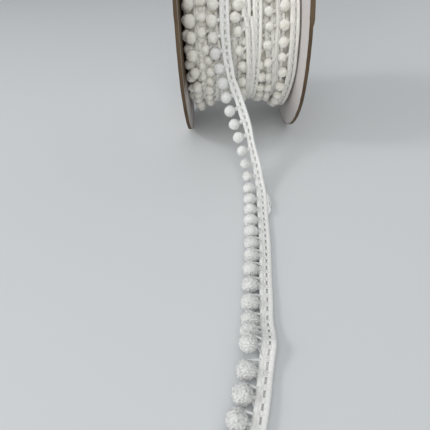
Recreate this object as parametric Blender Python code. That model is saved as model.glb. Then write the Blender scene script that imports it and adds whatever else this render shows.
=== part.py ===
"""Pompom fringe trim wound on a card spool, with its loose end lying in front.

Two card flanges on a card core stand on their rims, axis along X. The trim is wound between
them: a ladder heading of two braided cords, with a row of small pompoms knotted to the left
cord. The outermost turn leaves the front of the roll, comes down through the air and lies on
the surface towards -Y, where it is cut off. Sizes are in millimetres and become metres when
a mesh is made. Places are worked out from the spool's axis, and the whole part is then
moved along Y so that its origin is at the bottom centre of its box.
"""

import math

import bmesh
import bpy
import numpy as np

MM = 0.001
GAP = 0.3                      # clearance between pieces that touch

# Card spool
FLANGE_RADIUS = 45.0           # 3.5 in across
FLANGE_BOARD = 1.5             # thickness of the card
FLANGE_FLAT = 10.0             # width of the small flat that the rim stands on
SPOOL_INSIDE = 51.2            # clear width between the flanges, 2 in
HOLE_RADIUS = 9.5              # hole through each flange
CORE_RADIUS = 12.5
CORE_WALL = 1.5
RIM_STEPS = 64
CORE_STEPS = 40

# Trim
POMPOM_PITCH = 6.25            # from pompom to pompom along the trim
CORD_WIDTH = 1.7               # one braided cord of the heading
CORD_THICK = 1.4
CORD_SPREAD = 2.45             # between the middles of the two cords
ROOT_RADIUS = 0.45             # the knotted thread that holds a pompom

# Roll of trim
ROLL_RADIUS = 31.8             # through the middles of the outermost pompoms
POMPOMS_A_TURN = round(2 * math.pi * ROLL_RADIUS / POMPOM_PITCH)
STEPS_A_POMPOM = 4
ROLL_LOW = 29.4                # bottom of the furrows between the turns
CREST_HALF = 1.25              # half of a pompom row's crest
BRAID_HALF = 1.9               # half of a heading's flat back
ROLL_END_ROUND = 0.5           # the roll's ends are a little lower than its turns

# Where the loose end leaves the roll, as angles above the spool's front
LEAVES_AT = 10.0
BED_ENDS_AT = -62.0
BED_UNDER_POMPOMS = 28.4
BED_UNDER_BRAID = 29.7

# Rows of the roll, left to right: what shows, place from the left flange, radius of its
# back, how many quarter pitches it is turned, and how far it wanders to the side.
ROWS = (
    # kind, place, back, turned, wander
    ("pompoms", 3.5, 32.9, 0, 0.30),
    ("pompoms", 8.5, 32.4, 2, 0.25),
    ("pompoms", 13.6, 33.1, 1, 0.10),
    ("braid", 18.6, 31.5, 0, 0.10),
    ("pompoms", 24.2, 32.7, 3, 0.15),
    ("braid", 28.4, 31.7, 0, 0.35),
    ("braid", 32.9, 31.1, 0, 0.30),
    ("pompoms", 37.7, 32.6, 2, 0.35),
    ("pompoms", 43.2, 33.0, 0, 0.30),
    ("braid", 48.0, 31.6, 0, 0.20),
)
LOOSE_ROWS = (2, 3)            # the two rows that belong to the turn with the loose end

# Slack places where the turns stand off the roll, most of them hanging below it
SLACK = (
    # place, angle, rise, half_angle, half_width
    (5.5, -74.0, 2.0, 16.0, 3.5),
    (44.5, -72.0, 4.2, 16.0, 3.5),
    (31.0, 150.0, 1.0, 30.0, 6.0),
)

# The loose end, along the middles of its pompoms, from the roll to the cut: the pompom's
# number, its place from the spool's middle and axis, its height when the rim's lowest point
# would be at 0, its diameter, and how far the heading lies to its right and below it.
TAIL = (
    # number, across, ahead, height, size, heading_right, heading_below
    (-3.0, -12.3, 30.8, 52.4, 4.7, 5.0, 0.4),
    (-2.0, -11.6, 31.6, 46.1, 4.7, 5.0, 0.4),
    (-1.0, -10.0, 33.6, 40.2, 4.7, 5.0, 0.2),
    (0.0, -8.8, 36.6, 34.7, 4.7, 5.0, 0.0),
    (2.0, -6.1, 44.5, 25.2, 4.9, 5.0, 0.0),
    (4.0, -2.9, 53.2, 16.6, 4.6, 5.0, 0.0),
    (6.0, -0.6, 62.9, 8.9, 4.6, 5.0, 0.4),
    (8.0, 0.2, 74.4, 4.1, 4.7, 5.0, 1.0),
    (10.0, -0.5, 86.8, 2.7, 5.1, 5.0, 1.8),
    (13.0, -1.8, 105.3, 2.7, 5.1, 5.0, 1.8),
    (16.0, -3.8, 123.9, 2.9, 5.4, 5.1, 2.0),
    (18.0, -5.2, 135.9, 2.9, 5.3, 5.3, 2.0),
    (19.0, -5.6, 141.0, 3.5, 5.0, 5.3, 1.9),
    (20.0, -6.3, 145.9, 4.8, 5.0, 5.4, 1.8),
    (21.0, -7.3, 151.4, 3.2, 5.3, 5.4, 1.9),
    (22.5, -9.7, 160.3, 2.9, 5.5, 5.5, 2.0),
    (24.5, -13.7, 171.6, 2.9, 5.5, 5.5, 2.0),
)
TAIL_STARTS = -2.5             # the loose end's own solids, counted in pompoms
TAIL_ENDS = 24.4
FIRST_POMPOM = -2
LAST_POMPOM = 24
TAIL_STEP = 0.5                # a cross-section every half pitch
POMPOM_SIDES = 8
LIFT = 0.06                    # least height of the loose end over the surface

AXIS_HEIGHT = math.sqrt(FLANGE_RADIUS**2 - (FLANGE_FLAT / 2) ** 2)
TAIL_DROP = FLANGE_RADIUS - AXIS_HEIGHT

CARD = (0.33, 0.25, 0.17)
CORE_CARD = (0.42, 0.35, 0.27)
COTTON = (0.86, 0.86, 0.85)


def clear_scene():
    for obj in list(bpy.data.objects):
        bpy.data.objects.remove(obj, do_unlink=True)


def make_material(name, colour, roughness):
    mat = bpy.data.materials.new(name)
    mat.use_nodes = True
    shader = mat.node_tree.nodes["Principled BSDF"]
    shader.inputs["Base Color"].default_value = (*colour, 1.0)
    shader.inputs["Roughness"].default_value = roughness
    shader.inputs["Metallic"].default_value = 0.0
    return mat


def add_object(name, points, faces, mat):
    """An object from points in millimetres and faces, its normals turned outwards."""
    mesh = bpy.data.meshes.new(name)
    mesh.from_pydata((np.asarray(points) * MM).tolist(), [], faces)
    bm = bmesh.new()
    bm.from_mesh(mesh)
    bmesh.ops.recalc_face_normals(bm, faces=bm.faces)
    bm.to_mesh(mesh)
    bm.free()
    mesh.materials.append(mat)
    mesh.shade_smooth()
    mesh.set_sharp_from_angle(angle=math.radians(40))
    obj = bpy.data.objects.new(name, mesh)
    bpy.context.scene.collection.objects.link(obj)
    return obj


def loop_faces(loops, count, closed):
    """Quads between successive loops of count points each; closed joins last to first."""
    faces = []
    for k in range(loops if closed else loops - 1):
        a = k * count
        b = (k + 1) % loops * count
        for i in range(count):
            j = (i + 1) % count
            faces.append((a + i, a + j, b + j, b + i))
    return faces


def rim_outline(radius, flat, steps):
    """(y, z) points round a rim from one end of its bottom flat to the other."""
    half = math.asin(flat / 2 / radius)
    turn = np.linspace(half, 2 * math.pi - half, steps)
    return np.stack([radius * np.sin(turn), -radius * np.cos(turn)], axis=1)


def make_ring(name, left, right, outer, inner, mat):
    """A flat or long ring about the spool's axis: four loops, joined round its section."""
    loops = []
    for x, outline in ((left, outer), (right, outer), (right, inner), (left, inner)):
        loops.append(np.column_stack([np.full(len(outline), x), outline]))
    points = np.concatenate(loops) + (0.0, 0.0, AXIS_HEIGHT)
    return add_object(name, points, loop_faces(4, len(outer), closed=True), mat)


def make_spool(card, core_card):
    rim = rim_outline(FLANGE_RADIUS, FLANGE_FLAT, RIM_STEPS)
    hole = rim_outline(HOLE_RADIUS, HOLE_RADIUS / RIM_STEPS, RIM_STEPS)
    half = SPOOL_INSIDE / 2
    pieces = [
        make_ring("flange_left", -half - FLANGE_BOARD, -half, rim, hole, card),
        make_ring("flange_right", half, half + FLANGE_BOARD, rim, hole, card),
    ]
    outside = rim_outline(CORE_RADIUS, CORE_RADIUS / CORE_STEPS, CORE_STEPS)
    inside = outside * (CORE_RADIUS - CORE_WALL) / CORE_RADIUS
    reach = half - GAP
    pieces.append(make_ring("core_tube", -reach, reach, outside, inside, core_card))
    return pieces


def furrow_places():
    """Places of the furrows: the roll's two ends and halfway between neighbouring rows."""
    halves = [CREST_HALF if kind == "pompoms" else BRAID_HALF for kind, *_ in ROWS]
    places = [row[1] for row in ROWS]
    right_edges = [p + h for p, h in zip(places, halves)]
    left_edges = [p - h for p, h in zip(places, halves)]
    between = [(a + b) / 2 for a, b in zip(right_edges[:-1], left_edges[1:])]
    return [GAP, *between, SPOOL_INSIDE - GAP]


def slack_rise(place, turn):
    """Extra radius where the turns are slack: a bell curve along and across the roll."""
    rise = np.zeros(np.broadcast(place, turn).shape)
    for at, angle, height, half_angle, half_width in SLACK:
        away = (np.degrees(turn) - angle + 180.0) % 360.0 - 180.0
        rise += height * np.exp(-((away / half_angle) ** 2) - ((place - at) / half_width) ** 2)
    return rise


def roll_surface():
    """Grids of place and radius over the roll, one column for each line along a turn.

    Each row of pompoms is a pair of lines whose radius rises and falls once a pompom; each
    heading is a pair of level lines; a furrow lies between two rows. Under the loose end the
    two rows of its turn give way to a lower bed.
    """
    steps = POMPOMS_A_TURN * STEPS_A_POMPOM
    turn = np.arange(steps) * 2 * math.pi / steps
    degrees = (np.degrees(turn) + 180.0) % 360.0 - 180.0
    bed = (degrees < LEAVES_AT) & (degrees > BED_ENDS_AT)
    furrows = furrow_places()
    places = [np.full(steps, furrows[0])]
    radii = [np.full(steps, ROLL_LOW - ROLL_END_ROUND)]
    for number, (kind, middle, back, turned, wander) in enumerate(ROWS):
        half = CREST_HALF if kind == "pompoms" else BRAID_HALF
        shift = wander * np.sin(turn * 2 + number)
        radius = np.full(steps, back)
        if kind == "pompoms":
            swing = np.abs(np.cos(POMPOMS_A_TURN * turn / 2 - turned * math.pi / 4))
            radius = ROLL_LOW + (back - ROLL_LOW) * swing
        if number in LOOSE_ROWS:
            low = BED_UNDER_POMPOMS if kind == "pompoms" else BED_UNDER_BRAID
            radius = np.where(bed, low, radius)
            shift = np.where(bed, 0.0, shift)
        for side in (-half, half):
            places.append(middle + side + shift)
            radii.append(radius)
        furrow = np.full(steps, ROLL_LOW)
        if number in LOOSE_ROWS:
            furrow = np.where(bed, BED_UNDER_POMPOMS, furrow)
        places.append(np.full(steps, furrows[number + 1]))
        radii.append(furrow)
    radii[-1] = radii[-1] - ROLL_END_ROUND
    place = np.stack(places, axis=1)
    turn = np.repeat(turn[:, None], place.shape[1], axis=1)
    radius = np.stack(radii, axis=1)
    radius += np.where(bed[:, None], 0.0, slack_rise(place, turn))
    return place, turn, radius


def make_roll(cotton):
    """The wound form: its surface of rows, its two ends and the hole for the core."""
    place, turn, radius = roll_surface()
    inner = np.full((len(turn), 1), CORE_RADIUS + GAP)
    place = np.concatenate([place, place[:, -1:], place[:, :1]], axis=1)
    turn = np.concatenate([turn, turn[:, :1], turn[:, :1]], axis=1)
    radius = np.concatenate([radius, inner, inner], axis=1)
    x = place - SPOOL_INSIDE / 2
    y = -radius * np.cos(turn)
    z = radius * np.sin(turn) + AXIS_HEIGHT
    points = np.stack([x, y, z], axis=2)
    steps, count = place.shape
    return add_object("roll", points.reshape(-1, 3), loop_faces(steps, count, closed=True), cotton)


def smooth_rows(rows, at):
    """Columns of a table of stations, read at the given numbers on a smooth curve.

    Between two stations a column follows the cubic that has the table's values there and
    the slopes of the parabola through each station and its two neighbours.
    """
    table = np.array(rows, dtype=float)
    t, values = table[:, 0], table[:, 1:]
    step = np.diff(t)[:, None]
    rate = np.diff(values, axis=0) / step
    slope = np.empty_like(values)
    slope[1:-1] = (rate[:-1] * step[1:] + rate[1:] * step[:-1]) / (step[1:] + step[:-1])
    slope[0] = 2 * rate[0] - slope[1]
    slope[-1] = 2 * rate[-1] - slope[-2]
    k = np.clip(np.searchsorted(t, at, side="right") - 1, 0, len(t) - 2)
    h = step[k]
    u = (np.asarray(at)[:, None] - t[k][:, None]) / h
    start = values[k] * (1 + 2 * u) * (1 - u) ** 2 + slope[k] * h * u * (1 - u) ** 2
    end = values[k + 1] * u**2 * (3 - 2 * u) + slope[k + 1] * h * u**2 * (u - 1)
    return start + end


def unit(vectors):
    return vectors / np.linalg.norm(vectors, axis=-1, keepdims=True)


class Tail:
    """The loose end at the given pompom numbers: its places, directions and sizes."""

    def __init__(self, numbers):
        numbers = np.asarray(numbers, dtype=float)
        data = smooth_rows(TAIL, numbers)
        self.size, self.right, self.below = data[:, 3], data[:, 4], data[:, 5]
        self.middle = self.places(data)
        nudge = 0.05
        ahead = self.places(smooth_rows(TAIL, numbers + nudge))
        behind = self.places(smooth_rows(TAIL, numbers - nudge))
        self.along = unit(ahead - behind)
        side = np.array([1.0, 0.0, 0.0])
        self.across = unit(side - self.along * (self.along @ side)[:, None])
        self.up = np.cross(self.along, self.across)

    @staticmethod
    def places(data):
        return np.column_stack([data[:, 0], -data[:, 1], data[:, 2] - TAIL_DROP])

    def cord(self, side):
        """Middles of the heading's left cord (side -1) or right cord (side 1)."""
        aside = self.right + side * CORD_SPREAD / 2
        return self.middle + self.across * aside[:, None] - self.up * self.below[:, None]


def tail_numbers():
    steps = round((TAIL_ENDS - TAIL_STARTS) / TAIL_STEP)
    return np.linspace(TAIL_STARTS, TAIL_ENDS, steps + 1)


def sweep(middles, across, up, profile):
    """A closed profile of (across, up) points carried along a line of middles, with caps."""
    profile = np.array(profile)
    loops = (
        middles[:, None, :]
        + across[:, None, :] * profile[None, :, :1]
        + up[:, None, :] * profile[None, :, 1:]
    )
    loops[..., 2] = np.maximum(loops[..., 2], LIFT)
    count = len(profile)
    faces = loop_faces(len(loops), count, closed=False)
    last = (len(loops) - 1) * count
    faces.append(tuple(range(count)))
    faces.append(tuple(last + i for i in range(count)))
    return loops.reshape(-1, 3), faces


def cord_profile(web):
    """Six-sided section of a braided cord, with the ladder's flat web on its left."""
    half = CORD_WIDTH / 2
    thick = CORD_THICK / 2
    right = [(half * 0.6, thick), (half, 0.0), (half * 0.6, -thick)]
    if not web:
        return [*right, (-half * 0.6, -thick), (-half, 0.0), (-half * 0.6, thick)]
    edge = -(CORD_SPREAD - half - GAP)
    web_thick = thick * 0.45
    left = [(-half * 0.5, -thick), (-half, -web_thick), (edge, -web_thick)]
    return [*right, *left, (edge, web_thick), (-half, web_thick), (-half * 0.5, thick)]


def make_tail_cord(cotton):
    """The heading's right cord with the ladder's web, parted from the left cord."""
    tail = Tail(tail_numbers())
    points, faces = sweep(tail.cord(1), tail.across, tail.up, cord_profile(web=True))
    return add_object("tail_cord", points, faces, cotton)


def pompom_points(middle, root, size):
    """A ball turned about the line to its root, with a thin neck that ends in the cord.

    The rings' radii are those of a sphere at even angles from its far pole; the last two
    rings are the neck.
    """
    axis = unit(root - middle)
    length = float(np.linalg.norm(root - middle))
    down = unit(np.cross(np.cross(axis, (0.0, 0.0, -1.0)), axis))
    side = np.cross(axis, down)
    radius = size / 2
    angles = np.radians((18.0, 50.0, 82.0, 114.0, 144.0))
    ahead = [-radius * math.cos(a) for a in angles]
    ring_radius = [radius * math.sin(a) for a in angles]
    ahead += [radius * 0.97, length]
    ring_radius += [ROOT_RADIUS, ROOT_RADIUS]
    around = np.arange(POMPOM_SIDES) * 2 * math.pi / POMPOM_SIDES
    spoke = np.outer(np.cos(around), down) + np.outer(np.sin(around), side)
    rings = [middle + axis * a + spoke * r for a, r in zip(ahead, ring_radius)]
    points = np.concatenate(rings)
    points[:, 2] = np.maximum(points[:, 2], LIFT)
    faces = loop_faces(len(rings), POMPOM_SIDES, closed=False)
    last = (len(rings) - 1) * POMPOM_SIDES
    faces.append(tuple(range(POMPOM_SIDES)))
    faces.append(tuple(last + i for i in range(POMPOM_SIDES)))
    return points, faces


def make_tail_pompoms(cotton):
    """The heading's left cord with the pompoms knotted to it, united into one solid."""
    tail = Tail(tail_numbers())
    points, faces = sweep(tail.cord(-1), tail.across, tail.up, cord_profile(web=False))
    cord = add_object("tail_pompoms", points, faces, cotton)
    hung = Tail(np.arange(FIRST_POMPOM, LAST_POMPOM + 1))
    roots = hung.cord(-1)
    all_points, all_faces, start = [], [], 0
    for middle, root, size in zip(hung.middle, roots, hung.size):
        points, faces = pompom_points(middle, root, size)
        all_points.append(points)
        all_faces += [tuple(start + i for i in face) for face in faces]
        start += len(points)
    balls = add_object("pompom_cutter", np.concatenate(all_points), all_faces, cotton)
    balls.hide_render = True
    balls.display_type = "WIRE"
    union = cord.modifiers.new("pompoms", "BOOLEAN")
    union.operation = "UNION"
    union.solver = "EXACT"
    union.object = balls
    return cord, balls


def centre_along_y(objects, shown):
    """Moves every object along Y so that the box of the shown ones is centred there."""
    ends = [v.co.y for obj in shown for v in obj.data.vertices]
    for obj in objects:
        obj.location.y = -(min(ends) + max(ends)) / 2


def main():
    clear_scene()
    card = make_material("kraft_card", CARD, 0.85)
    core_card = make_material("core_card", CORE_CARD, 0.85)
    cotton = make_material("cotton_yarn", COTTON, 0.9)
    spool = make_spool(card, core_card)
    roll = make_roll(cotton)
    tail_cord = make_tail_cord(cotton)
    tail_pompoms, balls = make_tail_pompoms(cotton)
    shown = [*spool, roll, tail_cord, tail_pompoms]
    centre_along_y([*shown, balls], shown)


main()
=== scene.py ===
import bpy
import numpy as np
from mathutils import Matrix


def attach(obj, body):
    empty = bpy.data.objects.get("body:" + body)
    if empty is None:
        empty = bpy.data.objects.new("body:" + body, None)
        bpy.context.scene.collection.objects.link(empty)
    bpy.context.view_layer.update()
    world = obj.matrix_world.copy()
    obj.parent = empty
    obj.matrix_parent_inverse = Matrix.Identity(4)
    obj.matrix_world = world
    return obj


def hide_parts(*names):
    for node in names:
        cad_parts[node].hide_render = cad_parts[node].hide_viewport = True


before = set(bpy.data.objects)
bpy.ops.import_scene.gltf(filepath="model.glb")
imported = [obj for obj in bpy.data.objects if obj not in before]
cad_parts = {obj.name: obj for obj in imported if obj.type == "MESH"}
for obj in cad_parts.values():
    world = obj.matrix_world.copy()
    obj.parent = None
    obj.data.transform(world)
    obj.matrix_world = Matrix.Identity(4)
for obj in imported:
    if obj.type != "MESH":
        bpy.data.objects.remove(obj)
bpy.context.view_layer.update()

# Lengths are in millimetres until a mesh is filled.
MM = 0.001

# Card spool, the same numbers as the part's source.
AXIS_Y = 64.456
AXIS_Z = 44.721
SPOOL_INSIDE = 51.2
BOARD = 1.5
RIM_RADIUS = 45.0
HOLE_RADIUS = 9.5
CORE_RADIUS = 12.5
CORE_WALL = 1.5

# Ridges across the board's raw edge.
PLIES = 3.6

# Heading: its two cords, their middles' spread, one stitch of their braid, the flat web
# beside the left cord, the bobbin threads under it, and the stitches across it, whose
# length is a share of a pompom's step.
CORD_WIDTH = 1.55
CORD_THICK = 1.3
CORD_SPREAD = 2.6
STITCH = 1.5
WEB_WIDTH = 0.72
WEB_THICK = 0.85
WEB_ASIDE = -0.33
BACKING_WIDTH = 1.0
BACKING_THICK = 0.3
RUNGS_A_POMPOM = 2
RUNG_LONG = 0.235

# The tail's table is measured from a floor this much lower, and yarn keeps LIFT off the
# floor, fine threads THREAD_LIFT.
TAIL_DROP = 0.279
LIFT = 0.06
THREAD_LIFT = 0.03

# Pompom numbers, counted from the loose end's first: where the trim changes from the
# roll's plain turns to the finely made loose end, leaves the roll, lies on the floor, ends.
FINE_FROM = -6.5
LIFTS_FROM = -4
LAST_ON_ROLL = -3
LIES_FROM = 9
TAIL_ENDS = 24.4

# Steps between the sections of a heading, in pompoms.
COARSE_STEP = 0.1
BACKING_STEP = 0.06
FINE_STEP = 0.03

# The lower turns' form, and how far from the axis the pompoms that carry loose fibres are.
BED_RADIUS = 27.8
OUTER_TURNS = 30.0

# Wound trim, counted by pompoms back from the loose end: number, angle wound from the
# spool's front over its top, place from the left flange, radius of the pompoms' middles,
# and the heading's middle to the right of them and below them.
WOUND = [
    (-3.0, 13.5, 13.4, 31.6, 5.1, 0.2),
    (-4.0, 25.3, 13.2, 31.7, 5.3, 0.3),
    (-5.0, 37.0, 13.7, 31.8, 5.0, 0.4),
    (-12.0, 118.0, 13.4, 31.9, 5.1, 0.6),
    (-22.0, 233.0, 12.2, 32.0, 5.1, 0.8),
    (-31.0, 337.2, 11.2, 31.2, 4.7, 1.8),
    (-32.0, 346.8, 12.0, 31.0, 4.6, 1.9),
    (-33.0, 355.6, 10.8, 30.0, 4.9, 1.6),
    (-34.0, 365.0, 9.7, 31.0, 5.0, 2.2),
    (-35.0, 377.5, 8.9, 31.2, 5.0, 2.4),
    (-36.0, 388.6, 8.8, 31.3, 5.0, 2.4),
    (-47.0, 514.0, 8.0, 31.3, 5.0, 2.2),
    (-56.0, 617.0, 6.2, 31.8, 5.0, 2.0),
    (-58.5, 645.5, 5.6, 33.2, 4.9, 1.4),
    (-61.0, 674.1, 4.7, 31.8, 4.9, 1.6),
    (-62.0, 683.5, 4.7, 31.3, 4.9, 1.9),
    (-63.0, 692.6, 4.7, 31.2, 4.9, 2.2),
    (-64.0, 706.2, 4.2, 31.2, 4.9, 2.4),
    (-65.0, 720.6, 4.1, 31.3, 4.9, 2.5),
    (-66.0, 734.6, 3.7, 31.3, 4.9, 2.5),
    (-67.0, 746.3, 3.6, 31.2, 4.9, 2.5),
    (-68.0, 757.8, 3.7, 31.3, 4.9, 2.5),
    (-80.0, 896.0, 3.3, 30.6, 5.0, 2.0),
    (-93.0, 1046.8, 2.5, 28.9, 5.0, 0.6),
    (-95.0, 1072.5, 2.4, 28.9, 5.0, 0.6),
    (-100.0, 1130.0, 2.5, 28.6, 5.0, 0.6),
    (-127.0, 1442.0, 8.3, 28.2, 5.0, 0.5),
    (-158.0, 1801.0, 13.2, 28.2, 5.0, 0.5),
    (-189.0, 2160.0, 18.9, 28.6, 5.0, 0.5),
    (-206.0, 2357.0, 23.4, 30.6, 4.8, 0.5),
    (-218.0, 2495.4, 26.4, 31.2, 3.6, 0.7),
    (-219.0, 2510.2, 26.0, 31.2, 3.9, 0.3),
    (-220.0, 2523.2, 24.8, 31.2, 4.8, 0.3),
    (-221.0, 2536.9, 24.0, 31.2, 5.2, 0.2),
    (-222.0, 2546.7, 22.9, 31.3, 5.7, 0.3),
    (-223.0, 2555.6, 24.2, 31.2, 3.6, 0.3),
    (-224.0, 2567.0, 23.9, 31.0, 3.8, 0.2),
    (-232.0, 2660.0, 24.6, 30.4, 4.6, 0.0),
    (-248.6, 2850.0, 27.0, 28.4, 4.8, -1.9),
    (-251.2, 2880.0, 27.4, 28.3, 4.9, -2.2),
    (-253.8, 2910.0, 27.6, 28.3, 5.0, -2.3),
    (-266.0, 3052.0, 30.6, 28.8, 5.0, -1.0),
    (-279.0, 3204.5, 35.2, 30.2, 4.9, 1.2),
    (-280.0, 3217.8, 34.7, 30.1, 4.9, 1.2),
    (-281.0, 3229.5, 34.0, 29.4, 5.0, 0.8),
    (-282.0, 3240.5, 33.4, 28.8, 5.0, 0.4),
    (-296.0, 3402.0, 35.6, 29.6, 5.0, 0.8),
    (-311.0, 3577.4, 38.2, 30.8, 4.9, 2.0),
    (-312.0, 3592.0, 37.4, 30.9, 5.0, 2.2),
    (-313.0, 3606.1, 37.3, 30.9, 5.0, 2.3),
    (-314.0, 3618.7, 37.7, 30.8, 5.0, 2.3),
    (-315.0, 3629.5, 37.6, 30.8, 5.0, 2.3),
    (-324.0, 3733.0, 39.0, 30.9, 4.9, 2.0),
    (-333.8, 3845.0, 42.0, 31.4, 4.2, 0.8),
    (-337.5, 3888.0, 43.6, 33.4, 3.2, -0.9),
    (-339.5, 3910.0, 44.3, 32.4, 3.1, -0.4),
    (-341.0, 3927.6, 44.5, 31.4, 3.8, 0.4),
    (-342.0, 3943.2, 44.4, 31.2, 4.2, 0.6),
    (-343.0, 3956.7, 43.8, 31.2, 4.55, 0.7),
    (-344.0, 3967.8, 43.9, 31.3, 4.45, 0.7),
    (-345.0, 3979.9, 43.7, 31.3, 4.65, 0.7),
    (-346.0, 3993.5, 44.1, 31.2, 4.3, 0.7),
    (-358.0, 4134.0, 44.6, 30.6, 4.1, 0.8),
    (-371.0, 4286.0, 45.2, 28.2, 4.0, 0.6),
]

# Loose end by pompom number: place across from the spool's middle, ahead of its axis,
# height, size, and the heading's middle to the right of the pompoms and below them.
TAIL = [
    (-5.0, -11.9, 25.4, 64.14, 4.5, 5.0, 0.4),
    (-4.0, -12.4, 28.66, 58.55, 4.5, 5.3, 0.3),
    (-3.0, -12.25, 30.77, 52.4, 4.6, 5.1, 0.3),
    (-2.0, -11.6, 31.6, 46.1, 4.7, 5.0, 0.4),
    (-1.0, -10.0, 33.6, 40.2, 4.7, 5.0, 0.2),
    (0.0, -8.8, 36.6, 34.7, 4.7, 5.0, 0.0),
    (2.0, -6.1, 44.5, 25.2, 4.9, 5.0, 0.0),
    (4.0, -2.9, 53.2, 16.6, 4.6, 5.0, 0.0),
    (6.0, -0.6, 62.9, 8.9, 4.6, 5.0, 0.4),
    (8.0, 0.2, 74.4, 4.1, 4.7, 5.0, 0.6),
    (10.0, -0.5, 86.8, 2.7, 5.1, 5.0, 0.8),
    (13.0, -1.8, 105.3, 2.7, 5.1, 5.0, 0.8),
    (16.0, -3.9, 123.8, 2.9, 5.4, 5.1, 0.9),
    (17.0, -4.6, 130.5, 2.9, 5.4, 5.15, 0.9),
    (18.0, -5.2, 136.5, 2.9, 5.2, 5.05, 0.9),
    (19.0, -5.6, 140.7, 3.6, 5.0, 5.4, 0.9),
    (20.0, -6.3, 145.0, 5.1, 5.0, 5.5, 1.0),
    (21.0, -7.4, 151.4, 3.2, 4.95, 5.1, 0.9),
    (22.5, -9.7, 160.3, 2.9, 5.2, 5.2, 0.9),
    (24.5, -13.7, 171.6, 2.9, 5.2, 5.4, 1.0),
]

# Pompoms' sizes on the roll by number, smaller where the turns press on each other.
WOUND_SIZES = [
    (-371, 4.4), (-337, 4.4), (-324, 4.0), (-315, 3.8), (-311, 3.8), (-296, 4.2), (-282, 4.3),
    (-266, 4.6), (-224, 4.4), (-218, 4.4), (-206, 4.6), (-80, 4.7), (-68, 5.0), (-58, 5.0),
    (-47, 4.4), (-36, 4.0), (-31, 4.0), (-22, 4.5), (-3, 4.5),
]

# How the loose end's heading lies, by pompom number: degrees turned about its own length,
# its right cord outwards, its shift to the right, and its share of its full width.
HEADING_LIE = [
    (-8.0, 0, 0.0, 1.0), (-5.0, 6, 0.0, 1.0), (-3.4, 14, 0.15, 1.0), (-2.2, 16, 0.3, 1.0),
    (-1.0, 16, -0.6, 0.98), (-0.3, 26, -0.7, 0.88), (0.5, 18, -0.3, 0.97), (1.4, 24, 0.25, 0.94),
    (2.4, 12, 0.4, 1.0), (3.4, 28, 0.4, 0.91), (4.4, 36, -0.1, 0.82), (5.4, 33, -0.25, 0.87),
    (6.3, 30, -0.1, 0.91), (7.3, 26, -0.2, 0.92), (8.3, 4, 0.0, 1.0), (10.0, 0, 0.0, 1.0),
    (17.0, 0, 0.0, 1.0), (17.8, 10, 0.0, 0.98), (18.8, 0, 0.0, 1.0), (20.4, 0, 0.0, 1.0),
    (21.2, 8, 0.0, 0.98), (24.5, 10, 0.0, 0.93),
]


def smooth_rows(rows, at):
    """Columns of a table read on a smooth curve.

    Between two stations a column follows the cubic that has the table's values there and
    the slopes of the parabola through each station and its two neighbours.
    """
    table = np.array(rows, dtype=float)
    table = table[np.argsort(table[:, 0])]
    t, values = table[:, 0], table[:, 1:]
    step = np.diff(t)[:, None]
    rate = np.diff(values, axis=0) / step
    slope = np.empty_like(values)
    slope[1:-1] = (rate[:-1] * step[1:] + rate[1:] * step[:-1]) / (step[1:] + step[:-1])
    slope[0] = 2 * rate[0] - slope[1]
    slope[-1] = 2 * rate[-1] - slope[-2]
    k = np.clip(np.searchsorted(t, at, side="right") - 1, 0, len(t) - 2)
    h = step[k]
    u = (np.asarray(at)[:, None] - t[k][:, None]) / h
    start = values[k] * (1 + 2 * u) * (1 - u) ** 2 + slope[k] * h * u * (1 - u) ** 2
    end = values[k + 1] * u**2 * (3 - 2 * u) + slope[k + 1] * h * u**2 * (u - 1)
    return start + end


def unit(vectors):
    """Vectors of the same directions and length 1."""
    return vectors / np.linalg.norm(vectors, axis=-1, keepdims=True)


def waves(points, length, seed, count=28):
    """Soft random relief about zero: a sum of plane waves of one length in many directions.

    Each wave is cos(point . direction * 2 pi / length + start), and the sum is divided by
    the square root of half their number, so its spread is about 1.
    """
    rng = np.random.default_rng(seed)
    heading = unit(rng.normal(size=(count, 3))) * rng.uniform(0.7, 1.3, (count, 1))
    start = rng.uniform(0, 2 * np.pi, count)
    field = np.zeros(points.shape[:-1])
    for way, shift in zip(heading * 2 * np.pi / length, start):
        field += np.cos(points @ way + shift)
    return field / np.sqrt(count / 2)


def grid_faces(rows, columns, round_rows=False, round_columns=True):
    """Four-sided faces between neighbouring rows and columns of a grid of points."""
    i = np.arange(rows if round_rows else rows - 1)
    j = np.arange(columns if round_columns else columns - 1)
    i, j = np.meshgrid(i, j, indexing="ij")
    i_next, j_next = (i + 1) % rows, (j + 1) % columns
    row, row_next = i * columns, i_next * columns
    corners = [row + j, row + j_next, row_next + j_next, row_next + j]
    return np.stack(corners, axis=-1).reshape(-1, 4)


def tube_caps(stations, sides):
    """The two end faces of a grid of stations whose rows have the given sides."""
    ring = np.arange(sides)
    return np.stack([ring[::-1], (stations - 1) * sides + ring])


def repeated(faces, count, size):
    """The same faces again for each of count copies of a shape that has size points."""
    shift = np.arange(count)[:, None, None] * size
    return (faces[None] + shift).reshape(-1, faces.shape[1])


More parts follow.
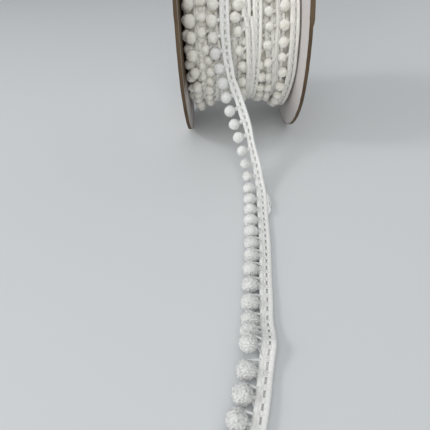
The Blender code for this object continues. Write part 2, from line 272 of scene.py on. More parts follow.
def put_mesh(name, patches, finish, node):
    """One piece from patches of (points, lists of faces, {mark: values}, uv or None).

    The points are set down as they are. A patch's faces are turned round where its signed
    volume, a sixth of the sum of a . (b x c) over its triangles, comes out negative, so
    they point outwards.
    """
    points, corners, sizes, marks, uvs = [], [], [], {}, []
    start = 0
    for spots, face_lists, values, uv in patches:
        spots = spots.reshape(-1, 3)
        volume = 0.0
        for faces in face_lists:
            a = spots[faces[:, 0]]
            for k in range(1, faces.shape[1] - 1):
                b, c = spots[faces[:, k]], spots[faces[:, k + 1]]
                volume += np.einsum("ij,ij->", a, np.cross(b, c))
        for faces in face_lists:
            turned = faces if volume >= 0 else faces[:, ::-1]
            corners.append(turned.ravel() + start)
            sizes.append(np.full(len(faces), faces.shape[1]))
            spread = np.zeros((len(spots), 2)) if uv is None else uv.reshape(-1, 2)
            uvs.append(spread[turned.ravel()])
        for mark, value in values.items():
            marks.setdefault(mark, []).append(np.ravel(value))
        points.append(spots)
        start += len(spots)
    points = np.concatenate(points)
    corners = np.concatenate(corners).astype(np.int32)
    sizes = np.concatenate(sizes)
    starts = np.concatenate([[0], np.cumsum(sizes)[:-1]]).astype(np.int32)
    mesh = bpy.data.meshes.new(name)
    mesh.vertices.add(len(points))
    mesh.vertices.foreach_set("co", (points * MM).ravel())
    mesh.loops.add(len(corners))
    mesh.loops.foreach_set("vertex_index", corners)
    mesh.polygons.add(len(sizes))
    mesh.polygons.foreach_set("loop_start", starts)
    mesh.polygons.foreach_set("use_smooth", np.ones(len(sizes), dtype=bool))
    for mark, value in marks.items():
        layer = mesh.attributes.new(mark, "FLOAT", "POINT")
        layer.data.foreach_set("value", np.concatenate(value).astype(np.float32))
    if any(patch[3] is not None for patch in patches):
        layer = mesh.uv_layers.new(name="UVMap")
        layer.data.foreach_set("uv", np.concatenate(uvs).astype(np.float32).ravel())
    mesh.update(calc_edges=True)
    mesh.validate()
    mesh.materials.append(finish)
    piece = bpy.data.objects.new(name, mesh)
    bpy.context.scene.collection.objects.link(piece)
    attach(piece, "root")
    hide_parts(node)
    return piece


# The trim's path.

class Trim:
    """Places and directions along the trim at the given pompom numbers.

    On the roll a place is on a circle about the spool's axis, at the table's angle and
    radius. The loose end's own table takes over within one pompom's step, by the share
    s^2 * (3 - 2 s). The directions are taken from the places a nudge ahead and behind.
    """

    def __init__(self, numbers):
        numbers = np.asarray(numbers, dtype=float)
        self.numbers = numbers
        self.middle, self.right, self.below, self.size = self.places(numbers)
        nudge = 0.04
        ahead = self.places(numbers + nudge)[0]
        behind = self.places(numbers - nudge)[0]
        self.along = unit(ahead - behind)
        side = np.array([1.0, 0.0, 0.0])
        self.across = unit(side - self.along * (self.along @ side)[:, None])
        self.up = np.cross(self.along, self.across)
        lie = smooth_rows(HEADING_LIE, np.clip(numbers, HEADING_LIE[0][0], HEADING_LIE[-1][0]))
        twist = np.radians(lie[:, :1])
        self.right = self.right + lie[:, 1]
        self.share = lie[:, 2:]
        self.flat = self.across * np.cos(twist) + self.up * np.sin(twist)
        self.face = self.up * np.cos(twist) - self.across * np.sin(twist)

    @staticmethod
    def places(numbers):
        wound = smooth_rows(WOUND, np.minimum(numbers, WOUND[0][0]))
        angle = np.radians(wound[:, 0])
        on_roll = np.column_stack(
            [
                wound[:, 1] - SPOOL_INSIDE / 2,
                AXIS_Y - wound[:, 2] * np.cos(angle),
                AXIS_Z + wound[:, 2] * np.sin(angle),
            ]
        )
        loose = smooth_rows(TAIL, np.maximum(numbers, TAIL[0][0]))
        free = np.column_stack([loose[:, 0], AXIS_Y - loose[:, 1], loose[:, 2] - TAIL_DROP])
        share = np.clip(numbers - LIFTS_FROM, 0, 1)
        share = share * share * (3 - 2 * share)
        middle = on_roll * (1 - share[:, None]) + free * share[:, None]
        right = loose[:, 4] * share + wound[:, 3] * (1 - share)
        below = loose[:, 5] * share + wound[:, 4] * (1 - share)
        on_roll_size = np.interp(numbers, *np.array(WOUND_SIZES, dtype=float).T)
        size = loose[:, 3] * share + on_roll_size * (1 - share)
        return middle, right, below, size

    def heading(self, aside=0.0, raised=0.0):
        """The heading's middle line, moved aside across it and raised off its face."""
        middle = self.middle + self.across * self.right[:, None] - self.up * self.below[:, None]
        return middle + self.flat * aside * self.share + self.face * raised

    def cord(self, side):
        """Middles of the heading's left cord (side -1) or right cord (side 1)."""
        return self.heading(side * CORD_SPREAD / 2)


def length_along(line):
    """Each point's distance from the line's start, as the sum of the steps before it."""
    steps = np.linalg.norm(np.diff(line, axis=0), axis=1)
    return np.concatenate([[0.0], np.cumsum(steps)])


def braid(line, trim, wide, thick, sides, relief, seed):
    """A braided cord: an oval section carried along a line, with its stitches in relief.

    At length s and angle a from the top, the section's radius is scaled by
    1 + relief * (|sin(pi * (s / stitch - 0.8 * a))| ^ 0.7 - 0.75), where a is counted from
    0 at the top to 1 at the underside, so the stitches meet in a V along the top, less a
    small crease down the middle of the top, and with slow random swelling of 2%.
    """
    s = length_along(line)
    angle = np.arange(sides) * 2 * np.pi / sides
    from_top = np.abs(np.angle(np.exp(1j * (angle - np.pi / 2)))) / np.pi
    stitch = np.abs(np.sin(np.pi * (s[:, None] / STITCH - 0.8 * from_top[None, :]))) ** 0.7
    crease = np.exp(-((from_top / 0.09) ** 2)) * (relief > 0)
    swell = waves(line, 9.0, seed)[:, None] * 0.02
    scale = 1 + relief * (stitch - 0.75) - 0.05 * crease + swell
    across = (trim.flat * trim.share)[:, None, :] * np.cos(angle)[None, :, None]
    aside = across * np.reshape(wide, (-1, 1, 1)) / 2
    raised = trim.face[:, None, :] * (np.sin(angle) * thick / 2)[None, :, None]
    points = line[:, None, :] + (aside + raised) * scale[..., None]
    points[..., 2] = np.maximum(points[..., 2], LIFT)
    faces = grid_faces(len(line), sides)
    # Painted shade in the stitches' grooves and in the crease down the top.
    painted_shade = 0.7 * np.clip(1 - stitch, 0, 1) * (relief > 0) + 0.4 * crease
    uv = np.stack(np.broadcast_arrays(s[:, None] / 10.0, angle[None, :] / (2 * np.pi)), axis=-1)
    return points, [faces, tube_caps(len(line), sides)], {"painted_shade": painted_shade}, uv


def web(trim, sides):
    """The flat strip of the ladder beside the left cord: an oval section along the heading.

    Where the loose end hangs clear of the floor the strip is drawn in under the left cord,
    by a share that rises and falls over two pompoms' steps.
    """
    drawn = np.clip((8.5 - trim.numbers) / 2, 0, 1) * np.clip((trim.numbers + 5.0) / 2, 0, 1)
    line = trim.heading((WEB_ASIDE - 0.2 * drawn)[:, None], 0.1)
    return braid(line, trim, WEB_WIDTH - 0.25 * drawn, WEB_THICK, sides, 0.0, 77)


def backing(trim, sides):
    """The thin bobbin threads under the ladder's slots: an oval section along the heading.

    Where the loose end hangs clear of the floor they lie 0.12 mm deeper in the ladder.
    """
    hangs = np.clip(LIES_FROM - trim.numbers, 0, 1) * np.clip((trim.numbers + 5.0) / 2, 0, 1)
    line = trim.heading(0.2, (-0.6 - 0.12 * hangs)[:, None])
    return braid(line, trim, BACKING_WIDTH, BACKING_THICK, sides, 0.0, 78)


def threads(lines, thick, sides, ends=1.0, painted_shade=0.0):
    """Many short round threads: lines is (count, stations, 3) and thick their diameters.

    The section is a regular polygon in the plane across the line, and its radius falls
    from full at the start to ends times that at the tip.
    """
    count, stations = lines.shape[:2]
    along = unit(np.gradient(lines, axis=1) + 1e-9)
    helper = np.where(np.abs(along[..., 2:3]) > 0.8, [1.0, 0.0, 0.0], [0.0, 0.0, 1.0])
    across = unit(np.cross(along, helper))
    up = np.cross(across, along)
    angle = np.arange(sides) * 2 * np.pi / sides
    fall = np.linspace(1.0, ends, stations)[None, :, None] * np.reshape(thick, (-1, 1, 1)) / 2
    wide = across[:, :, None, :] * (np.cos(angle)[None, None, :] * fall)[..., None]
    high = up[:, :, None, :] * (np.sin(angle)[None, None, :] * fall)[..., None]
    points = lines[:, :, None, :] + wide + high
    points[..., 2] = np.maximum(points[..., 2], THREAD_LIFT)
    size = stations * sides
    faces = repeated(grid_faces(stations, sides), count, size)
    caps = repeated(tube_caps(stations, sides), count, size)
    # Each thread's painted shade, the same all along it.
    marks = np.repeat(np.broadcast_to(painted_shade, count), size)
    return points, [faces, caps], {"painted_shade": marks}, None


def ball_grid(rings, sides):
    """Unit ball: rings of points at even angles from one pole, with a point at each pole."""
    polar = np.linspace(0, np.pi, rings + 2)[1:-1]
    offset = 0.5 * (np.arange(rings)[:, None] % 2)
    around = (np.arange(sides)[None, :] + offset) * 2 * np.pi / sides
    body = np.stack(
        [
            np.sin(polar)[:, None] * np.cos(around),
            np.sin(polar)[:, None] * np.sin(around),
            np.broadcast_to(np.cos(polar)[:, None], around.shape),
        ],
        axis=-1,
    ).reshape(-1, 3)
    spots = np.concatenate([body, [[0, 0, 1.0]], [[0, 0, -1.0]]])
    ring = np.arange(sides)
    following = (ring + 1) % sides
    top = np.stack([np.full(sides, rings * sides), ring, following], axis=-1)
    low = (rings - 1) * sides
    bottom = np.stack([low + following, low + ring, np.full(sides, rings * sides + 1)], axis=-1)
    return spots, [grid_faces(rings, sides)[:, ::-1], np.concatenate([top, bottom])]


def pompoms(trim, rings, sides, tuft, tuft_length, seed, squash, opened_and_painted_shade=0.0):
    """Yarn balls on the trim.

    Each is a unit ball, turned about its pole, scaled to its size and by up to squash along
    each axis, and pushed in and out by soft random relief of tuft mm, which differs from
    ball to ball. The argument opened_and_painted_shade is how far each ball's yarn has come
    open, which makes its relief up to three times greater and darkens the ball with painted
    shade. Below 0 the ball is only lighter, with painted light.
    """
    spots, faces = ball_grid(rings, sides)
    rng = np.random.default_rng(seed)
    count = len(trim.numbers)
    radius = trim.size / 2 * rng.uniform(0.97, 1.05, count)
    turn = rng.uniform(0, 2 * np.pi, count)
    c, s = np.cos(turn), np.sin(turn)
    local = np.stack(
        [
            spots[None, :, 0] * c[:, None] - spots[None, :, 1] * s[:, None],
            spots[None, :, 0] * s[:, None] + spots[None, :, 1] * c[:, None],
            np.broadcast_to(spots[None, :, 2], (count, len(spots))),
        ],
        axis=-1,
    )
    frame_axes = np.stack([trim.across, trim.up, trim.along], axis=1)
    out = np.einsum("nvk,nkj->nvj", local, frame_axes)
    seeds = trim.numbers[:, None, None] * 17.3
    where = out * radius[:, None, None] + seeds
    opened_and_painted_shade = np.reshape(np.broadcast_to(opened_and_painted_shade, count), (-1, 1))
    looser = 1 + 2 * np.clip(opened_and_painted_shade, 0, 1)
    relief = waves(where, tuft_length, seed + 1) * tuft * looser
    wide = 1 + rng.uniform(-squash, squash, (count, 1, 3))
    points = trim.middle[:, None, :] + out * wide * (radius[:, None] + relief)[..., None]
    points[..., 2] = np.maximum(points[..., 2], LIFT + 0.02 * (points[..., 2] < 0))
    # Painted shade: a base darkening on every ball, more where the relief dips in and where the
    # yarn has come open; below 0, painted light.
    painted_shade = np.clip(0.45 - relief / tuft * 0.35 + 0.6 * opened_and_painted_shade, 0, 1)
    all_faces = [repeated(f, count, len(spots)) for f in faces]
    return (points, all_faces, {"painted_shade": painted_shade}, None), radius


def fuzz(trim, radius, chosen, each, long, thick, stations, seed, bend=0.35, opened_and_painted_shade=0.0):
    """Loose fibres standing out of the chosen pompoms.

    A fibre starts inside the ball's surface at a random direction d, and at length t its
    place is the middle + d * (0.92 radius + t) + bend * t^2 * a random direction across d.
    """
    rng = np.random.default_rng(seed)
    count = int(chosen.sum())
    out = unit(rng.normal(size=(count * each, 3)))
    side = unit(np.cross(out, rng.normal(size=(count * each, 3))))
    middle = np.repeat(trim.middle[chosen], each, axis=0)
    start = np.repeat(radius[chosen], each)
    reach = long * rng.uniform(0.5, 1.3, count * each)
    t = np.linspace(0, 1, stations)[None, :, None]
    ahead = out[:, None, :] * (start[:, None, None] * 0.92 + reach[:, None, None] * t)
    curl = side[:, None, :] * (bend * reach[:, None, None] * t**2)
    lines = middle[:, None, :] + ahead + curl
    # Painted shade on the fibres, more where the yarn has opened; below 0, painted light.
    painted_shade = 0.15 + 0.6 * np.broadcast_to(opened_and_painted_shade, len(trim.numbers))[chosen]
    return threads(lines, np.full(len(lines), thick), 3, ends=0.35, painted_shade=np.repeat(painted_shade, each))


def roots(trim, stations, sides, upstream, thick):
    """The yarn that ties each pompom to the heading's left cord.

    It leaves the cord's underside upstream mm before the pompom and bows to the ball's side:
    the place is cord * (1 - t) + ball * t, moved back along the trim by
    upstream * (1 - t)^2.
    """
    t = np.linspace(0, 1, stations)[None, :, None]
    start = trim.heading(-CORD_SPREAD / 2 - 0.2, -0.25)[:, None, :]
    end = (trim.middle + trim.across * (trim.size * 0.3)[:, None])[:, None, :]
    back = -trim.along[:, None, :] * (np.reshape(upstream, (-1, 1, 1)) * (1 - t) ** 2)
    lines = start * (1 - t) + end * t + back
    # The roots carry a little painted shade.
    return threads(lines, np.broadcast_to(thick, len(lines)), sides, ends=0.75, painted_shade=0.1)


def ties(numbers, stations, sides, thick):
    """The thread that binds each pompom, where it shows between two of them on the floor.

    It leaves the left cord 0.44 of a step before the pompom and ends on the ball's far
    side 0.26 of a step before it. The place is cord * (1 - t) + far * t, raised by
    1.3 mm * sin(pi t).
    """
    leaves = Trim(numbers - 0.44)
    reaches = Trim(numbers - 0.26)
    far = reaches.middle - reaches.across * (reaches.size * 0.4)[:, None] + [0, 0, 0.1]
    t = np.linspace(0, 1, stations)[None, :, None]
    lines = leaves.cord(-1)[:, None, :] * (1 - t) + far[:, None, :] * t
    lines = lines + leaves.up[:, None, :] * (1.3 * np.sin(np.pi * t))
    return threads(lines, np.full(len(lines), thick), sides, ends=0.6)


def rungs(numbers_from, numbers_to, strands, thick, stations, sides):
    """Crosswise stitches that join the two cords between the ladder's slots.

    Each rung is a few parallel strands side by side over RUNG_LONG of a pompom's step,
    from the left cord to the right one, raised by 0.34 mm less 0.06 mm * sin(pi t).
    """
    first, last = np.ceil(numbers_from * RUNGS_A_POMPOM), numbers_to * RUNGS_A_POMPOM
    rows = np.arange(first, last) / RUNGS_A_POMPOM
    offsets = np.linspace(-0.5, 0.5, strands) * RUNG_LONG * (1 - 1 / strands)
    trim = Trim((rows[:, None] + offsets[None, :]).ravel())
    t = np.linspace(0.1, 0.85, stations)[None, :, None]
    lines = trim.cord(-1)[:, None, :] * (1 - t) + trim.cord(1)[:, None, :] * t
    lines = lines + trim.face[:, None, :] * (0.34 - 0.06 * np.sin(np.pi * t))
    return threads(lines, np.full(len(lines), thick), sides)


def snagged_loops(numbers, seed):
    """A few fibres pulled out of the heading's right edge as loose loops.

    A loop runs 0.9 of a pompom's step along the edge, and its place is the edge, moved
    right by reach * sin(pi t) and up by 0.6 * reach * sin(pi t)^2.
    """
    rng = np.random.default_rng(seed)
    t = np.linspace(0, 1, 11)
    reach = rng.uniform(0.3, 1.8, len(numbers))[:, None, None]
    along = Trim((numbers[:, None] + 0.9 * t[None, :]).ravel())
    edge = along.heading(CORD_SPREAD / 2 + CORD_WIDTH * 0.35).reshape(len(numbers), len(t), 3)
    right, up = along.flat.reshape(edge.shape), along.face.reshape(edge.shape)
    bow = np.sin(np.pi * t)[None, :, None]
    lines = edge + right * reach * bow + up * 0.6 * reach * bow**2
    return threads(lines, np.full(len(lines), 0.26), 5)


# Finishes.

def node_group(name, inputs, outputs):
    """A shader group with named float inputs and outputs, and its two end nodes."""
    group = bpy.data.node_groups.new(name, "ShaderNodeTree")
    new_socket = group.interface.new_socket
    for label, value in inputs:
        new_socket(label, in_out="INPUT", socket_type="NodeSocketFloat").default_value = value
    for label in outputs:
        new_socket(label, in_out="OUTPUT", socket_type="NodeSocketFloat")
    return group, group.nodes.new("NodeGroupInput"), group.nodes.new("NodeGroupOutput")


def feed(tree, slot, value):
    """Set an input to a number or a colour, or link another node's output to it."""
    if isinstance(value, (int, float)):
        slot.default_value = value
    elif isinstance(value, tuple):
        slot.default_value = (*value, 1.0)
    else:
        tree.links.new(value, slot)


def math_node(tree, operation, *values):
    """A Math node fed by numbers or outputs; returns its own output."""
    node = tree.nodes.new("ShaderNodeMath")
    node.operation = operation
    for slot, value in zip(node.inputs, values):
        feed(tree, slot, value)
    return node.outputs[0]


def noise_node(tree, vector, scale, detail=2.0, rough=0.55):
    """A noise of the given scale, as a value from 0 to 1."""
    node = tree.nodes.new("ShaderNodeTexNoise")
    inputs = {"Vector": vector, "Scale": scale, "Detail": detail, "Roughness": rough}
    for label, value in inputs.items():
        feed(tree, node.inputs[label], value)
    return node.outputs["Fac"]


def make_fibre_group():
    """Yarn fibres: fine noise on two scales, as a tone about 0.5 and as a height."""
    group, source, sink = node_group("yarn_fibres", [("Fibre Scale", 2600.0)], ["Tone", "Height"])
    place = group.nodes.new("ShaderNodeTexCoord").outputs["Object"]
    scale = source.outputs["Fibre Scale"]
    fine = noise_node(group, place, scale, 3.0, 0.65)
    broad = noise_node(group, place, math_node(group, "MULTIPLY", scale, 0.22), 2.0)
    height = math_node(group, "MULTIPLY_ADD", broad, 0.6, math_node(group, "MULTIPLY", fine, 0.4))
    tone = math_node(group, "MULTIPLY_ADD", fine, 0.5, math_node(group, "MULTIPLY", broad, 0.5))
    group.links.new(tone, sink.inputs["Tone"])
    group.links.new(height, sink.inputs["Height"])
    return group


def make_card_group():
    """Card and paper: matted fibres and slow handling marks, as a tone and a height."""
    group, source, sink = node_group("card_grain", [("Grain Scale", 900.0)], ["Tone", "Height"])
    place = group.nodes.new("ShaderNodeTexCoord").outputs["Object"]
    scale = source.outputs["Grain Scale"]
    fine = noise_node(group, place, scale, 4.0, 0.7)
    slow = noise_node(group, place, 55.0, 2.0)
    tone = math_node(group, "MULTIPLY_ADD", slow, 0.6, math_node(group, "MULTIPLY", fine, 0.4))
    group.links.new(tone, sink.inputs["Tone"])
    group.links.new(fine, sink.inputs["Height"])
    return group


def placed_group(tree, group, **values):
    """A material's own node of a shared group, with its own values."""
    node = tree.nodes.new("ShaderNodeGroup")
    node.node_tree = group
    for label, value in values.items():
        node.inputs[label.replace("_", " ")].default_value = value
    return node


def mark_socket(tree, mark):
    """The value of one of the mesh's marks at each point of the surface."""
    node = tree.nodes.new("ShaderNodeAttribute")
    node.attribute_name = mark
    return node.outputs["Fac"]


def mixed(tree, share, first, second):
    """Colour mix of two colours or sockets by a share from 0 to 1."""
    node = tree.nodes.new("ShaderNodeMix")
    node.data_type = "RGBA"
    node.clamp_factor = True
    for label, value in (("Factor", share), ("A", first), ("B", second)):
        feed(tree, next(s for s in node.inputs if s.name == label and s.enabled), value)
    return next(s for s in node.outputs if s.enabled)


def bump(tree, height, strength, distance):
    """A normal that a height bends, with the full height's distance in metres."""
    node = tree.nodes.new("ShaderNodeBump")
    for label, value in (("Strength", strength), ("Distance", distance), ("Height", height)):
        feed(tree, node.inputs[label], value)
    return node.outputs["Normal"]


def new_finish(name, roughness, **settings):
    """A material, its tree and its shader, with the shader's own constant settings."""
    finish = bpy.data.materials.new(name)
    finish.use_nodes = True
    tree = finish.node_tree
    shader = tree.nodes["Principled BSDF"]
    shader.inputs["Roughness"].default_value = roughness
    shader.inputs["Specular IOR Level"].default_value = 0.25
    for label, value in settings.items():
        shader.inputs[label.replace("_", " ")].default_value = value
    return finish, tree, shader


def cotton_finish(name, light, shade, fibre_scale, fibre_bump, speckle, through):
    """White cotton: fibre noise between two whites, and painted shade towards the darker one
    where the mark painted_shade says so.

    Through is how much of the light goes into the yarn and comes out beside where it fell.
    """
    finish, tree, shader = new_finish(
        name, 0.95, Sheen_Weight=0.25, Sheen_Roughness=0.5,
        Subsurface_Weight=through, Subsurface_Scale=0.003 * through,
    )
    shader.inputs["Subsurface Radius"].default_value = (1.0, 0.97, 0.92)
    fibres = placed_group(tree, FIBRES, Fibre_Scale=fibre_scale)
    painted_shade = mark_socket(tree, "painted_shade")
    tone = fibres.outputs["Tone"]
    grey = math_node(tree, "MULTIPLY_ADD", tone, speckle, 0.2 - 0.5 * speckle)
    # Painted shade: the mark painted_shade moves the colour towards the shade colour.
    grey = math_node(tree, "MULTIPLY_ADD", painted_shade, 0.4, grey)
    tree.links.new(mixed(tree, grey, light, shade), shader.inputs["Base Color"])
    tree.links.new(bump(tree, fibres.outputs["Height"], 0.6, fibre_bump), shader.inputs["Normal"])
    return finish


def board_finish(name, face, core, core_dark):
    """White-lined board: lined faces, and a raw brown edge with its plies as bands.

    The mark edge says where the board is raw, ply how dark a ply is, and
    scuff_and_painted_shade how far a face turns to the brown core: wear of its liner near the
    rim, and painted shade on the left flange's inside.
    """
    finish, tree, shader = new_finish(name, 0.82)
    grain = placed_group(tree, CARD, Grain_Scale=1100.0)
    tone = grain.outputs["Tone"]
    edge, ply, scuff_and_painted_shade = (mark_socket(tree, mark) for mark in ("edge", "ply", "scuff_and_painted_shade"))
    streak = math_node(tree, "MULTIPLY_ADD", ply, 0.75, math_node(tree, "MULTIPLY", tone, 0.5))
    brown = mixed(tree, math_node(tree, "SUBTRACT", streak, 0.15), core, core_dark)
    shaded = tuple(0.8 * v for v in face)
    toned = mixed(tree, math_node(tree, "MULTIPLY", tone, 0.35), face, shaded)
    # Scuffed liner and painted shade both turn a face towards the core's brown.
    worn = mixed(tree, scuff_and_painted_shade, toned, core)
    tree.links.new(mixed(tree, edge, worn, brown), shader.inputs["Base Color"])
    tree.links.new(bump(tree, grain.outputs["Height"], 0.35, 0.00008), shader.inputs["Normal"])
    return finish


FIBRES = make_fibre_group()
CARD = make_card_group()
pompom_cotton = cotton_finish(
    "pompom_cotton", (0.87, 0.87, 0.855), (0.58, 0.585, 0.57),
    fibre_scale=2400.0, fibre_bump=0.0003, speckle=1.7, through=0.6,
)
cord_cotton = cotton_finish(
    "cord_cotton", (0.92, 0.918, 0.90), (0.68, 0.685, 0.67),
    fibre_scale=3000.0, fibre_bump=0.00012, speckle=0.6, through=0.25,
)
# The roll's cotton and cord are warmer copies of the loose end's, with an olive shade colour:
# painted warm light and painted shade from light bounced inside the roll.
roll_cotton_painted_warm_light = cotton_finish(
    "roll_cotton_painted_warm_light", (0.905, 0.893, 0.868), (0.71, 0.675, 0.56),
    fibre_scale=2200.0, fibre_bump=0.0003, speckle=1.0, through=0.55,
)
roll_cord_painted_warm_light = cotton_finish(
    "roll_cord_painted_warm_light", (0.935, 0.925, 0.895), (0.73, 0.70, 0.61),
    fibre_scale=3000.0, fibre_bump=0.00012, speckle=0.6, through=0.3,
)
spool_board = board_finish(
    "spool_board", face=(0.70, 0.665, 0.655), core=(0.15, 0.105, 0.065),
    core_dark=(0.05, 0.032, 0.017),
)
core_board = board_finish(
    "core_board_finish", face=(0.34, 0.25, 0.17), core=(0.40, 0.30, 0.20),
    core_dark=(0.22, 0.15, 0.09),
)


# Card spool.

def round_axis(x, q, radius):
    """Points at x across the spool, at angle q from straight down and a radius from its axis."""
    x = np.broadcast_to(x, radius.shape)
    sine, cosine = np.sin(q)[:, None], np.cos(q)[:, None]
    return np.stack([x, AXIS_Y - sine * radius, AXIS_Z - cosine * radius], axis=-1)


def tube_profile(turns, steps, reach):
    """A tube's angles, its places along the outside and back inside, and 1 where outside."""
    x = np.linspace(-reach, reach, steps)
    angles = np.arange(turns) * 2 * np.pi / turns
    return angles, np.concatenate([x, x[::-1]]), np.repeat([1.0, 0.0], steps)


def flange(name, side, node):
    """One flange: a closed profile across the board, carried round the spool's axis.

    At angle q from straight down the rim's radius is the smaller of 45 mm and
    44.721 / cos(q), which is flat on the floor. The board's faces wave by a few hundredths
    of a millimetre, and the rim's plies are cosine ridges across the board that fade in
    and out round the rim. Across runs from 0 on the inner face to 1 on the outer one.
    """
    turns, edge_steps, bore_steps = 288, 15, 4
    q = np.arange(turns) * 2 * np.pi / turns
    rim = np.minimum(RIM_RADIUS, AXIS_Z / np.maximum(np.cos(q), 1e-3))
    face = np.array([HOLE_RADIUS, 10.2, 14, 19, 24, 29, 33, 36.5, 39.5, 42, 43.6, 44.4, 44.8])
    face = face / RIM_RADIUS
    over_edge = np.linspace(0, 1, edge_steps)
    through_bore = np.linspace(1, 0, bore_steps + 2)[1:-1]
    across = np.concatenate([0 * face, over_edge, 0 * face + 1, through_bore])[None, :]
    bore = np.full(bore_steps, HOLE_RADIUS / RIM_RADIUS)
    radial = np.concatenate([face, np.ones(edge_steps), face[::-1], bore])
    is_edge = np.concatenate([0 * face, np.ones(edge_steps), 0 * face, np.ones(bore_steps)])
    radius = np.where(radial < 0.5, radial * RIM_RADIUS, radial * rim[:, None])
    ahead, height = -np.sin(q)[:, None] * radius, -np.cos(q)[:, None] * radius
    flat = np.stack([np.broadcast_to(across * BOARD, radius.shape), ahead, height], axis=-1)
    in_plane = flat * [0.0, 1.0, 1.0]
    warp = 0.10 * waves(in_plane, 34.0, 11 + side) * (radius / RIM_RADIUS) ** 2
    crush = 0.05 * waves(in_plane, 6.0, 21 + side) * np.clip((radius - 42) / 3, 0, 1)
    plies = 0.5 + 0.5 * np.cos(2 * np.pi * across * PLIES)
    fade = 0.6 + 0.4 * np.tanh(waves(in_plane, 17.0, 31 + side))
    worn = waves(flat * [2.0, 1.0, 1.0], 3.0, 41 + side)
    inset = is_edge * (radius > 40) * (0.13 * plies * fade + 0.05 * np.abs(worn))
    inset = inset * (across > 0.05) * (across < 0.95)
    scuff_and_painted_shade = 0.8 * np.clip((radius - 43.9) / 1.1, 0, 1) * np.clip(0.4 + 0.5 * worn, 0, 1)
    lift = 0.0
    if side > 0:
        lift = peeled_liner(q, radius, across)
    else:
        # The left flange's inside is darkened with painted shade through the same mark.
        scuff_and_painted_shade = np.maximum(scuff_and_painted_shade, painted_shade_inside(radius, across, height))
    x = side * (SPOOL_INSIDE / 2 + (across * BOARD + lift)) + (warp + crush) * 0.6
    points = round_axis(x, q, radius - inset)
    points[..., 2] = np.maximum(points[..., 2], 0.0)
    marks = {
        "edge": is_edge[None, :] * np.ones_like(radius),
        "ply": np.clip(plies * fade, 0, 1),
        "scuff_and_painted_shade": scuff_and_painted_shade,
    }
    patch = (points, [grid_faces(turns, len(radial), round_rows=True)], marks, None)
    put_mesh(name, [patch], spool_board, node)


def peeled_liner(q, radius, across):
    """How far the right flange's outer liner stands off its board.

    Over the top of the rim the liner stands off by 0.5 mm at the edge, less inwards, and it
    ends in a torn step 17 degrees above the front.
    """
    front_up = np.degrees(np.angle(np.exp(1j * (q - np.pi / 2))))
    torn = 17.0 + 1.2 * np.sin(radius * 2.1)
    begins = np.clip((front_up[:, None] - torn) / 0.8, 0, 1)
    ends = np.clip((118.0 - front_up[:, None]) / 40, 0, 1)
    near_rim = np.clip((radius - 37.0) / 7.5, 0, 1) ** 1.5
    return 0.5 * begins * ends * near_rim * (across > 0.72)


def painted_shade_inside(radius, across, height):
    """Painted shade on the left flange's inside, as a share of the brown core colour, by
    distance from the axis.

    It is 0.5 at the rim and full from 42 mm inwards, and fades to a tenth of that from
    8 mm to 17 mm below the axis.
    """
    deeper = 0.5 + 0.5 * np.clip((43.4 - radius) / 1.4, 0, 1)
    fade = 0.1 + 0.9 * np.clip((height + 17.0) / 9.0, 0, 1)
    return deeper * fade * (across < 0.01)


def core_tube():
    """The spool's core: a card tube wound from a strip, whose edge shows as a step.

    Where the strip's seam passes, at the angle 2 pi * x / 48, the outside radius falls and
    the inside radius grows by 0.15 mm.
    """
    turns, steps = 96, 40
    half = SPOOL_INSIDE / 2
    q, x, is_out = tube_profile(turns, steps, half - 0.3)
    seam = np.angle(np.exp(1j * (q[:, None] - 2 * np.pi * x[None, :] / 48.0)))
    step = 0.15 * np.exp(-((seam / 0.09) ** 2))
    wall = np.where(is_out > 0, CORE_RADIUS, CORE_RADIUS - CORE_WALL)[None, :]
    r = wall - step * np.where(is_out > 0, 1, -1)
    ends = (np.abs(x) > half - 1.0) * np.ones_like(r)
    marks = {
        "edge": np.ones_like(r),
        "ply": np.clip(step * 6 + 0.1 * ends, 0, 1),
        "scuff_and_painted_shade": np.zeros_like(r),
    }
    faces = [grid_faces(turns, 2 * steps, round_rows=True)]
    patch = (round_axis(x, q, r), faces, marks, None)
    put_mesh("core_board", [patch], core_board, "core_tube")


flange("flange_left_board", -1, "flange_left")
flange("flange_right_board", 1, "flange_right")
core_tube()


# Wound trim.

def bed():
    """The lower turns under the ones that show: a wound form with a yarn-like surface.

    A closed profile from flange to flange is carried round the axis, and its radius of
    27.8 mm is waved along and across by soft random relief, and falls by 1.2 mm at its two
    edges. Inside it is 0.3 mm over the core.
    """
    turns, steps = 240, 72
    reach = SPOOL_INSIDE / 2 - 1.2
    q, x, is_out = tube_profile(turns, steps, reach)
    base = np.where(is_out > 0, BED_RADIUS, CORE_RADIUS + 0.3)[None, :] * np.ones((turns, 1))
    around, up = np.sin(q)[:, None] * base, np.cos(q)[:, None] * base
    place = np.stack([np.broadcast_to(x, base.shape) * 2.2, around, up], axis=-1)
    relief = 0.55 * waves(place, 5.2, 51) + 0.2 * waves(place, 2.0, 52)
    edge_fall = np.clip((reach - np.abs(x)) / 2.0, 0, 1) ** 0.5
    r = np.where(is_out > 0, base + relief * edge_fall - 1.2 * (1 - edge_fall), base)
    # Painted shade in the hollows of the relief.
    painted_shade = np.clip(0.55 - relief * 0.4, 0, 1)
    faces = [grid_faces(turns, 2 * steps, round_rows=True)]
    return round_axis(x, q, r), faces, {"painted_shade": painted_shade}, None


def both_cords(trim, sides, relief, seed):
    """The heading's left and right cords, braided alike."""
    return [
        braid(trim.cord(side), trim, CORD_WIDTH, CORD_THICK, sides, relief, seed)
        for side in (-1, 1)
    ]


